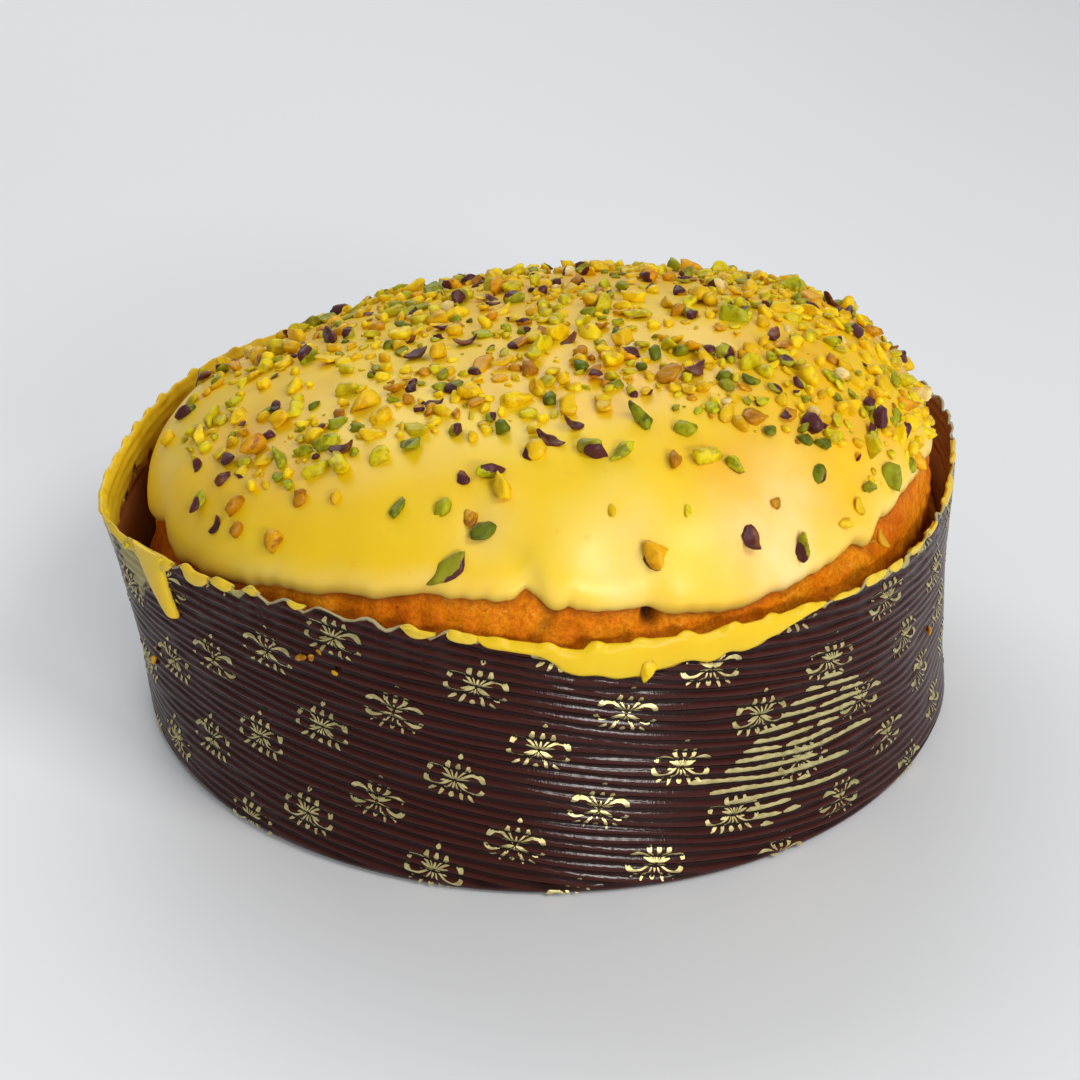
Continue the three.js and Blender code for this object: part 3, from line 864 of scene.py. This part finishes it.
def dome_icing():
    turn = round_turn(DOME_STEPS)
    edge = edge_climb(turn)
    finest, finer = np.linspace(0, 0.035, 12), np.linspace(0.045, 0.2, 16)
    shares = np.concatenate([finest, finer, np.linspace(0.215, 0.985, 54)])
    nose = dome_point(turn, edge)
    rows = []
    from_edge = []
    for share in shares:
        climb = above(edge, share)
        away = np.linalg.norm(dome_point(turn, climb) - nose, axis=-1)
        sink = (ICING + 0.3) * (1 - rounded(np.clip(1 - away / EDGE_ROLL, 0, 1), 2.1))
        lip = EDGE_LIP * bell(away - 5.5, 3.5)
        point = dome_point(turn, climb)
        lift = icing_swell(point) * smooth(away, 0, 4) + lip - sink
        rows.append(point + dome_normal(turn, climb) * lift[:, None])
        from_edge.append(away)
    rows.reverse()
    from_edge.reverse()
    for share in (0.02, 0.1, 0.35, 0.7, 0.95):
        rows.append(under_dome(turn, above(edge, share), ICING + 0.5))
        from_edge.append(np.full(DOME_STEPS, 9.0))
    rings = np.array(rows)
    away = np.array(from_edge)
    # Creamy colour: a faint band near the edge, with the painted highlight spots over it.
    cream = 0.25 * bell(away - 3, 3)
    for x, y, radius, share in ICING_PAINTED_HIGHLIGHTS:
        cream = np.maximum(cream, share * spot(rings, x, y, radius))
    top = float(rings[0, :, 2].mean()) + 0.05
    piece = ring_mesh("icing_glaze", (DOME_TOP[0], DOME_TOP[1], top), rings,
                      (DOME_TOP[0], DOME_TOP[1], top - ICING - 0.5), icing_material(), edge=bell(away, 1.6),
                      cream=cream)
    finish_piece(piece, "icing", "icing")


# Icing on the rim

STRIP_END = 2.6  # length over which a strip thins out at its ends
STRIP_OVER = 25  # points over the rim, of which the rest of a strip's loop is hidden


def rim_strip(profile, inside, thick, seed):
    """Icing saddled on the rim, as loops of points that follow each other along it.

    The profile lists azimuths in degrees with how far the icing hangs down outside at each."""
    marks, depths = np.array(profile, float).T
    steps = max(16, int(math.radians(marks[-1] - marks[0]) * BASE_RADIUS / 0.5))
    degrees = np.linspace(marks[0], marks[-1], steps)
    azimuth = np.radians(degrees)
    depth = soften(np.interp(degrees, marks, depths), 12)
    from_end = np.minimum(degrees - marks[0], marks[-1] - degrees) * math.radians(1) * BASE_RADIUS
    swell = rounded(1 - np.clip(from_end / STRIP_END, 0.01, 1))
    inside_swell = rounded(1 - np.clip(from_end / max(STRIP_END, 1.5 * inside), 0.01, 1))
    middle = rim_middle(azimuth)
    crest = np.maximum(rim_height(azimuth), middle + 0.2)
    outside_drop = crest - middle + depth * swell * (1 + 0.07 * swing(azimuth * 3, seed, 8, 40))
    inside_drop = crest - middle + inside * inside_swell * (1 + 0.16 * swing(azimuth, seed + 100, 12, 60))
    rows = []
    for s in np.linspace(-1, 1, STRIP_OVER):  # from the foot inside, over the crest to the foot outside
        drop = np.abs(s) ** 1.3 * (outside_drop if s > 0 else inside_drop)
        z = crest - drop
        lift = thick * swell * (rounded(s, 4) * (0.62 + 0.38 * np.abs(s)))
        over = np.clip(1 - drop, 0, 1)  # on the crest the icing lies up instead of out
        ridged = wall_radius(azimuth, z)
        filled = plain_radius(azimuth, z) - RIB_DEPTH * 0.3
        face = ridged + (filled - ridged) * np.clip(lift / 0.7, 0, 1)  # thick icing fills the grooves
        side = face + lift if s > 0 else ridged - SHEET - lift
        top = wall_radius(azimuth, crest) - SHEET / 2 + np.clip(s, -0.5, 0.5) * (SHEET + lift)
        rows.append(polar(azimuth, side + (top - side) * over, z + lift * over * 0.8))
    for s in (0.8, 0.3, -0.3, -0.8):  # the hidden side, back within the paper
        z = crest - 0.2 - abs(s) ** 1.3 * (outside_drop if s > 0 else inside_drop)
        hidden = wall_radius(azimuth, z) - SHEET / 2 if s > 0 else inner_radius(azimuth, z)
        rows.append(polar(azimuth, hidden, z))
    return np.array(rows).transpose(1, 0, 2)


def run_down(path, thick):
    """A tongue of icing that ran down the outside, as loops of points from its root to its tip.

    The path lists azimuth, height and half width."""
    marks = np.array(path, float)
    fine = np.linspace(0, 1, 44)
    given = np.linspace(0, 1, len(marks))
    degrees, height, half = (np.interp(fine, given, marks[:, k]) for k in range(3))
    soften(degrees, 4)
    half = soften(half, 4) * rounded(np.clip((fine - 0.84) / 0.161, 0, 1))
    loops = []
    across = np.concatenate([np.linspace(-1, 1, 15), np.linspace(0.8, -0.8, 14)])
    lifted = np.concatenate([rounded(across[:15], 2.6), np.full(14, -0.2)])
    for angle, z, wide, share in zip(np.radians(degrees), height, half, fine):
        azimuth = angle + across * wide / BASE_RADIUS
        swell = thick * (0.7 + 0.3 * share) * min(1, wide / 1.6)
        radius = plain_radius(azimuth, z) - 0.15 + swell * lifted
        loops.append(polar(azimuth, radius, z - 0.08 * across * wide))
    return np.array(loops)


def strips_piece(name, material, strips, dull, *nodes):
    """Several runs of loops as one piece, each closed at its ends, with how dull their thin edges look."""
    points, faces, edge, count = [], [], [], 0
    for loops in strips:
        along, across = loops.shape[:2]
        faces += (grid_faces(along, across, flip=True) + count).tolist()
        corners = list(range(count, count + along * across))
        faces += [corners[:across], corners[:-across - 1:-1]]
        points.append(loops.reshape(-1, 3))
        share = np.zeros(across)
        share[:STRIP_OVER] = np.abs(np.linspace(-1, 1, STRIP_OVER)) ** 3
        edge.append(np.tile(dull * (0.35 + 0.65 * share), along))
        count += along * across
    piece = make_mesh(name, np.concatenate(points), faces, material, edge=np.concatenate(edge))
    finish_piece(piece, "icing", *nodes)


# Strips on the rim: azimuths with depths outside, then the depth inside, thickness and seed
FRONT_DEPTHS = [
    (-97.8, 0.8), (-95.6, 1.6), (-92.5, 1.5), (-90.3, 2.2), (-89.2, 4), (-87.3, 5.2), (-84.3, 6.8),
    (-82, 7.8), (-79.8, 8.4), (-78.4, 6.8), (-75.3, 6), (-70.5, 6.2), (-68, 6.3), (-65.6, 5.2),
    (-63.6, 4.3), (-61.7, 2.8), (-59.8, 1.2), (-56.5, 0.6),
]
FRONT_STRIPS = [(FRONT_DEPTHS, 1.2, 0.9, 61)]
DRIP_STRIPS = [
    ([(-146.2, 2), (-144, 3.4), (-141, 3.4), (-138.8, 1.6)], 2, 1.1, 64),
    ([(-176, 0.6), (-166, 1.2), (-158, 1.8), (-152, 2.2), (-147.5, 2.6), (-145, 2)], 3, 0.45, 65),
]
BACK_STRIPS = [
    ([(146, 1), (160, 2), (180, 2.4), (192, 2.2), (204, 1)], 10, 0.9, 66),
    ([(112, 1), (130, 1.5), (150, 1)], 8, 0.8, 67),
]
# The tongue that ran down at the left: azimuth, height and half width, and its thickness
DRIP_PATH = [
    (-142.9, 64.2, 5.2), (-142.8, 61, 4.6), (-142.4, 57.5, 3.9), (-141.8, 54, 3.4), (-141, 51, 2.7),
    (-140.2, 48.4, 1.9),
]
DRIP_THICK = 1.7
DABS = [  # first and last azimuth, depth outside, thickness
    (-137.2, -132.6, 3.4, 0.8), (-132.3, -128.8, 2.2, 0.6), (-127, -124.8, 1, 0.4),
    (-120.6, -118.2, 0.9, 0.35), (-106.2, -102.2, 1.7, 0.5), (-101, -97.4, 2, 0.55), (-55.5, -51, 0.7, 0.4),
    (-50, -45.4, 1.3, 0.45), (-44.8, -41.4, 1.4, 0.45), (-39.8, -35.8, 1, 0.4), (-34, -29.4, 1.2, 0.4),
    (-24, -14, 1.4, 0.5), (-10, -2, 1, 0.5), (20, 28, 0.8, 0.5), (66, 78, 1.4, 0.7), (98, 108, 1, 0.6),
]


def rim_icing():
    deep = icing_material("rim_icing", 1.0, 0.25)
    front = [rim_strip(*s) for s in FRONT_STRIPS]
    drip = [run_down(DRIP_PATH, DRIP_THICK)] + [rim_strip(*s) for s in DRIP_STRIPS]
    back = [rim_strip(*s) for s in BACK_STRIPS]
    dabs = []
    for k, (first, last, depth, thick) in enumerate(DABS):
        profile = [(first, depth * 0.6), ((first + last) / 2, depth), (last, depth * 0.6)]
        dabs.append(rim_strip(profile, depth * 0.4, thick, 70 + k))
    strips_piece("rim_icing_front_glaze", deep, front, 0.2, "rim_icing_front")
    strips_piece("rim_icing_drip_glaze", deep, drip, 0.65, "rim_icing_drip")
    strips_piece("rim_icing_back_glaze", deep, back, 0.3, "rim_icing_back")
    strips_piece("rim_icing_dabs", deep, dabs, 0.8)


# Chopped nuts

NUT_SEED = 7
NUT_COUNT = 140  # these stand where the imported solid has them
NUT_LENGTH = (3.2, 7.5)
LARGE_NUT = 4.6
NUT_FIELD = (4, 0)
NUT_REACH = 100
NUT_FADE = 16
STRAY_NUTS = 0.04
BARE_EDGE = 0.12
NUT_GROWTH = 1.12  # the solid's stones are a little smaller than the nuts
FRONT_LIMIT = -66  # in front of this the nuts are the ones listed below
SMALL_NUTS = 920
SMALL_LENGTH = (2.2, 7)
CRUMBS = 260
CRUMB_LENGTH = (0.6, 1.9)
FINE_NUT = 5.4  # longer nuts have finer meshes
LONG_NUT = 6.3  # longer nuts are slim
SLIM = 0.72

# Kinds: share of all nuts, share with some skin, colours from and to, record's slot
KINDS = {
    "golden": (0.24, 0.08, (0.72, 0.44, 0.001), (0.89, 0.59, 0.003), "nut_yellow"),
    "sunny": (0.21, 0.04, (0.8, 0.54, 0.001), (0.91, 0.66, 0.006), "nut_yellow"),
    "honey": (0.07, 0.2, (0.66, 0.3, 0.001), (0.84, 0.44, 0.003), "nut_yellow"),
    "lemon": (0.17, 0.08, (0.54, 0.45, 0.002), (0.76, 0.61, 0.006), "nut_yellow"),
    "green": (0.14, 0.22, (0.25, 0.27, 0.002), (0.54, 0.5, 0.004), "nut_green"),
    "olive": (0.03, 1.0, (0.24, 0.23, 0.006), (0.4, 0.37, 0.02), "nut_green"),
    "dark_green": (0.03, 0.4, (0.1, 0.13, 0.002), (0.27, 0.28, 0.004), "nut_green"),
    "brown": (0.05, 0.3, (0.4, 0.16, 0.001), (0.72, 0.36, 0.003), "nut_brown"),
    "purple": (0.04, 1.0, (0.05, 0.012, 0.008), (0.22, 0.065, 0.016), "nut_purple"),
    "pale": (0.02, 0.1, (0.76, 0.56, 0.2), (0.86, 0.7, 0.34), "nut_yellow"),
}

# Nuts that stand apart near the front, as x, y, length, kind and heading in degrees
FRONT_NUTS = [
    (-21, -94, 10.5, "olive", 14), (21, -93, 6, "honey", 80), (41, -86, 6.2, "purple", 120),
    (52, -82, 6.4, "green", 115), (71, -68, 4.6, "brown", 100), (66, -69, 4, "golden", 10),
    (-57, -77, 5, "brown", 60), (-9, -81, 6.6, "golden", 100), (-16, -86, 5, "brown", 120),
    (-13, -89, 6.4, "dark_green", 30), (-21, -83, 4.4, "green", 50), (-30, -81, 5.2, "dark_green", 60),
    (-12, -77, 7.4, "green", 20), (-17, -77, 3.6, "purple", 80), (10, -74, 7.2, "olive", 170),
    (15, -75, 6.2, "green", 20), (26, -76, 5.2, "brown", 70), (33, -75, 7, "lemon", 10),
    (38, -75, 5, "green", 160), (44, -62, 5.6, "brown", 20), (56, -60, 5.4, "purple", 150),
    (74, -58, 6.2, "green", 150), (57, -70, 4.6, "dark_green", 90), (-52, -70, 4.6, "brown", 50),
    (-67, -63, 5.4, "brown", 40), (-77, -55, 6, "green", 45), (-72, -52, 4.2, "purple", 60),
    (-72, -64, 4.2, "purple", 80), (-66, -69, 3.8, "brown", 60), (-44, -74, 3.6, "golden", 60),
    (1, -70, 6.6, "purple", 150), (6, -66, 5, "purple", 10), (-3, -73, 5.4, "golden", 0),
    (20, -66, 7.4, "dark_green", 150), (29, -68, 4.8, "green", 30), (-35, -66, 5.2, "lemon", 60),
    (-28, -60, 6.8, "lemon", 130), (-43, -60, 6.4, "purple", 170), (-47, -56, 6.6, "green", 15),
    (-37, -58, 6.6, "golden", 165), (62, -74, 3.4, "golden", 40), (47, -79, 2.8, "brown", 40),
    (28, -86, 3, "lemon", 90), (13, -87, 2.8, "golden", 90), (-64, -48, 6.6, "brown", 30),
]


def number_stream(seed):
    """The same numbers from 0 to 1 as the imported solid's nuts are placed with."""
    state = seed
    while True:
        state = (state * 1664525 + 1013904223) & 0xFFFFFFFF
        yield state / 4294967296


def nut_density(x, y):
    inward = NUT_REACH - math.hypot(x - NUT_FIELD[0], y - NUT_FIELD[1])
    return STRAY_NUTS + (1 - STRAY_NUTS) * float(smooth(inward, 0, NUT_FADE))


def solid_nuts():
    """Azimuth, climb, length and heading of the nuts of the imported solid."""
    stream = number_stream(NUT_SEED)
    found, centres = [], np.zeros((0, 3))
    while len(found) < NUT_COUNT:
        azimuth = 2 * math.pi * next(stream)
        climb = math.acos(math.sqrt(next(stream)) ** (PLAN_ROUNDNESS / 2))
        centre = dome_point(azimuth, climb)
        keep = next(stream) < nut_density(centre[0], centre[1])
        length = NUT_LENGTH[0] + (NUT_LENGTH[1] - NUT_LENGTH[0]) * next(stream) ** 2.2
        heading = 2 * math.pi * next(stream)
        if not keep or climb < solid_edge(azimuth) + BARE_EDGE:
            continue
        reach = np.array([(n[2] + length) * 0.55 for n in found])
        if len(found) and (np.linalg.norm(centres - centre, axis=1) < reach).any():
            continue
        found.append((azimuth, climb, length, heading))
        centres = np.vstack([centres, centre])
        corners = 12 if length > LARGE_NUT else 6
        for _ in range(corners + 1):  # the solid's numbers for the shape of this nut
            next(stream)
    return found


def scattered(draw, count, lengths, spacing, taken):
    """More places on the dome, clear of those taken: azimuth, climb, length and heading."""
    found = []
    centres = np.array([dome_point(n[0], n[1]) for n in taken])
    sizes = np.array([n[2] for n in taken])
    while len(found) < count:
        azimuth = draw.uniform(-np.pi, np.pi)
        climb = math.acos(math.sqrt(draw.uniform()) ** (PLAN_ROUNDNESS / 2))
        centre = dome_point(azimuth, climb)
        length = lengths[0] + (lengths[1] - lengths[0]) * draw.uniform() ** 1.5
        clump = 0.55 + 0.45 * float(ripple(centre[None], 16, 91)[0])
        if draw.uniform() > nut_density(centre[0], centre[1]) * np.clip(clump, 0.12, 1):
            continue
        if climb < solid_edge(azimuth) + BARE_EDGE / 2 or centre[1] < FRONT_LIMIT:
            continue
        if (np.linalg.norm(centres - centre, axis=1) < (sizes + length) * spacing).any():
            continue
        found.append((azimuth, climb, length, draw.uniform(0, 2 * np.pi)))
        centres = np.vstack([centres, centre])
        sizes = np.append(sizes, length)
    return found


def unit_ball(levels):
    mesh = bmesh.new()
    bmesh.ops.create_icosphere(mesh, subdivisions=levels, radius=1)
    points = np.array([v.co for v in mesh.verts])
    faces = np.array([[v.index for v in f.verts] for f in mesh.faces])
    mesh.free()
    return points, faces


def chopped(draw, ball, kind, slim=1):
    """A chopped kernel 1 long: a stone with flat cuts, or a thin curled flake of skin."""
    cuts = draw.integers(5, 8)
    normals = draw.normal(size=(cuts, 3))
    normals /= np.linalg.norm(normals, axis=1, keepdims=True)
    reach = draw.uniform(0.4, 0.85, cuts)
    facing = np.clip(ball @ normals.T, 0, None) / reach
    sharp = 26  # how sharply two cuts meet
    stone = ball * ((facing**sharp).sum(1) + 1)[:, None] ** (-1 / sharp)
    first, second = draw.integers(1 << 30, size=2).tolist()
    uneven = 0.15 * ripple(stone, 0.9, first) + 0.07 * ripple(stone, 0.35, second)
    stone = stone * (1 + uneven)[:, None]
    if kind == "purple" and draw.uniform() < 0.7:
        size = np.array([1, draw.uniform(0.6, 0.9), 0.22])
        curl = draw.uniform(0.6, 1.3)
    elif draw.uniform() < 0.3:
        size = np.array([1, draw.uniform(0.5, 0.95), draw.uniform(0.26, 0.4)])
        curl = draw.uniform(0.1, 0.5)
    else:
        size = np.array([1, draw.uniform(0.56, 0.9), draw.uniform(0.55, 0.85)])
        curl = draw.uniform(-0.1, 0.4)
    stone = stone / np.ptp(stone, axis=0) * size * (1, slim, 1)
    stone[:, 2] += curl * (stone[:, 0] ** 2 + 0.6 * stone[:, 1] ** 2) - curl * 0.1
    return stone


def seat(stone, azimuth, climb, heading, length, tip, lift):
    """Puts a stone on the icing."""
    point = icing_point(azimuth, climb)
    up = dome_normal(azimuth, climb)
    ahead = np.cross(up, (math.sin(heading), -math.cos(heading), 0))
    ahead /= np.linalg.norm(ahead)
    side = np.cross(up, ahead)
    c, s = math.cos(tip), math.sin(tip)
    axes = np.stack([ahead * c + up * s, side, up * c - ahead * s])
    return (stone * length) @ axes + point + up * length * lift


# Nuts and flakes stuck to the outside of the case: azimuth, height, length, kind and heading
WALL_NUTS = [
    (-79.2, 56.6, 5.6, "golden", 80), (-147.3, 62, 3.2, "lemon", 0), (-119, 52.4, 3, "brown", 20),
    (-117.6, 53.2, 2, "brown", 70), (-114.6, 50.9, 1.7, "brown", 0), (-116.4, 55, 1.6, "brown", 150),
    (-149.9, 28.5, 3, "brown", 60), (-148.6, 33, 1.8, "brown", 20), (-27.4, 32.9, 2.6, "brown", 80),
]


def seat_on_wall(stone, azimuth, z, heading, length):
    azimuth = math.radians(azimuth)
    out = polar(azimuth, 1, 0)
    turned = math.radians(heading)
    ahead = np.array([-out[1] * math.cos(turned), out[0] * math.cos(turned), math.sin(turned)])
    axes = np.stack([ahead, np.cross(out, ahead), out])
    thin = stone * (1, 1, 0.6)
    return (thin * length) @ axes + polar(azimuth, float(plain_radius(azimuth, z)) + 0.12 * length, z)


def chosen_nuts(draw):
    """Azimuth, climb, length, heading and kind of each nut on the icing."""
    chosen = []
    for x, y, length, kind, heading in FRONT_NUTS:
        azimuth, climb = dome_place(x, y)
        chosen.append((float(azimuth), float(climb), length, math.radians(heading), kind))
    front = np.array([dome_point(n[0], n[1]) for n in chosen])
    sizes = np.array([n[2] for n in chosen])
    names = list(KINDS)
    weights = np.array([KINDS[k][0] for k in names])
    weights = weights / weights.sum()
    for azimuth, climb, length, heading in solid_nuts():
        centre = dome_point(azimuth, climb)
        length *= NUT_GROWTH
        near = (np.linalg.norm(front - centre, axis=1) < (sizes + length) * 0.45).any()
        kind = names[draw.choice(len(names), p=weights)]
        if not near and centre[1] > FRONT_LIMIT:
            chosen.append((azimuth, climb, length, heading, kind))
    for nut in scattered(draw, SMALL_NUTS, SMALL_LENGTH, 0.34, chosen):
        chosen.append((*nut, names[draw.choice(len(names), p=weights)]))
    return chosen


def nut_pieces():
    draw = np.random.default_rng(17)
    chosen = chosen_nuts(draw)
    fine, coarse = unit_ball(3), unit_ball(2)
    for name, (_, skinned, low, high, slot) in KINDS.items():
        heap = Gathered()
        for azimuth, climb, length, heading, kind in chosen:
            if kind != name:
                continue
            ball, triangles = fine if length > FINE_NUT else coarse
            stone = chopped(draw, ball, kind, SLIM if length > LONG_NUT else 1)
            tip = draw.uniform(-0.4, 0.4)
            lift = draw.uniform(0.03, 0.22)
            shade = draw.uniform()
            towards = draw.normal(size=3)
            towards /= np.linalg.norm(towards)
            has_skin = draw.uniform() < skinned
            skin = np.clip(0.5 + 1.1 * (ball @ towards - 0.3), 0, 1) * has_skin
            placed = seat(stone, azimuth, climb, heading, length, tip, lift)
            heap.add(placed, triangles, shade=shade, skin=skin)
        for azimuth, z, length, kind, heading in WALL_NUTS:
            if kind == name:
                ball, triangles = fine
                placed = seat_on_wall(chopped(draw, ball, kind, 0.8), azimuth, z, heading, length)
                heap.add(placed, triangles, shade=draw.uniform(), skin=0)
        heap.piece("nuts_" + name, nut_material("kernel_" + name, low, high), slot)
    crumbs(draw, chosen, *unit_ball(1))


def crumbs(draw, taken, ball, triangles):
    """Fine nut dust on the icing, in three colours."""
    spots = scattered(draw, CRUMBS, CRUMB_LENGTH, 0.2, taken)
    colours = [("golden", 0.55), ("green", 0.2), ("brown", 0.25)]
    kinds = draw.choice(len(colours), size=len(spots), p=[share for _, share in colours])
    for index, (name, _) in enumerate(colours):
        heap = Gathered()
        for (azimuth, climb, length, heading), kind in zip(spots, kinds):
            if kind == index:
                placed = seat(chopped(draw, ball, name), azimuth, climb, heading, length, 0, 0.12)
                heap.add(placed, triangles, shade=draw.uniform(), skin=0)
        _, _, low, high, slot = KINDS[name]
        heap.piece("crumbs_" + name, nut_material("dust_" + name, low, high), slot)


# Table, light and camera

CAMERA_OFF = (-1.479, -386.355, 230.177)  # from the case's axis where it meets the table
CAMERA_DOWN = 27.05  # degrees
FIELD_OF_VIEW = 36
SENSOR = 36


def table():
    bpy.ops.mesh.primitive_plane_add(size=8, location=(0, 2, 0))
    floor = bpy.context.object
    floor.name = "table"
    floor.data.materials.append(table_material())


LIT_POINT = (0, 0, 0.06)
# Lights: name, place and size in metres, watts and colour
LIGHTS = [
    ("key", (0.76, -0.7, 1.05), (0.5, 0.5), 7.6, (1, 0.985, 0.96)),
    ("window", (0.52, -1.21, 0.44), (0.42, 0.14), 7.6, (1, 0.99, 0.975)),
    ("back", (-0.45, 1.35, 1.3), (1.8, 1), 15, (0.98, 0.99, 1)),
]
SKY_COLOUR = (0.93, 0.96, 1, 1)
SKY_STRENGTH = 0.38


def area_light(name, place, size, power, colour):
    light = bpy.data.lights.new(name, "AREA")
    light.shape = "RECTANGLE"
    light.size, light.size_y = size
    light.energy = power
    light.color = colour
    lamp = bpy.data.objects.new(name, light)
    lamp.location = place
    lamp.rotation_euler = (Vector(LIT_POINT) - Vector(place)).to_track_quat("-Z", "Y").to_euler()
    bpy.context.scene.collection.objects.link(lamp)


def lights():
    for light in LIGHTS:
        area_light(*light)
    world = bpy.data.worlds.new("studio")
    bpy.context.scene.world = world
    world.use_nodes = True
    background = next(n for n in world.node_tree.nodes if n.type == "BACKGROUND")
    background.inputs["Color"].default_value = SKY_COLOUR
    background.inputs["Strength"].default_value = SKY_STRENGTH


def camera():
    data = bpy.data.cameras.new("camera")
    data.sensor_width = SENSOR
    data.lens = SENSOR / 2 / math.tan(math.radians(FIELD_OF_VIEW / 2))
    data.clip_start, data.clip_end = 0.01, 30
    eye = bpy.data.objects.new("camera", data)
    eye.location = (np.array(CAMERA_OFF) + (CASE_X, CASE_Y, 0)) * MM
    eye.rotation_euler = (math.radians(90 - CAMERA_DOWN), 0, 0)
    bpy.context.scene.collection.objects.link(eye)
    bpy.context.scene.camera = eye


camera()
table()
lights()
bpy.context.scene.view_settings.view_transform = "Standard"
paper_case()
florets()
gold_bars()
loaf()
dome_icing()
rim_icing()
nut_pieces()
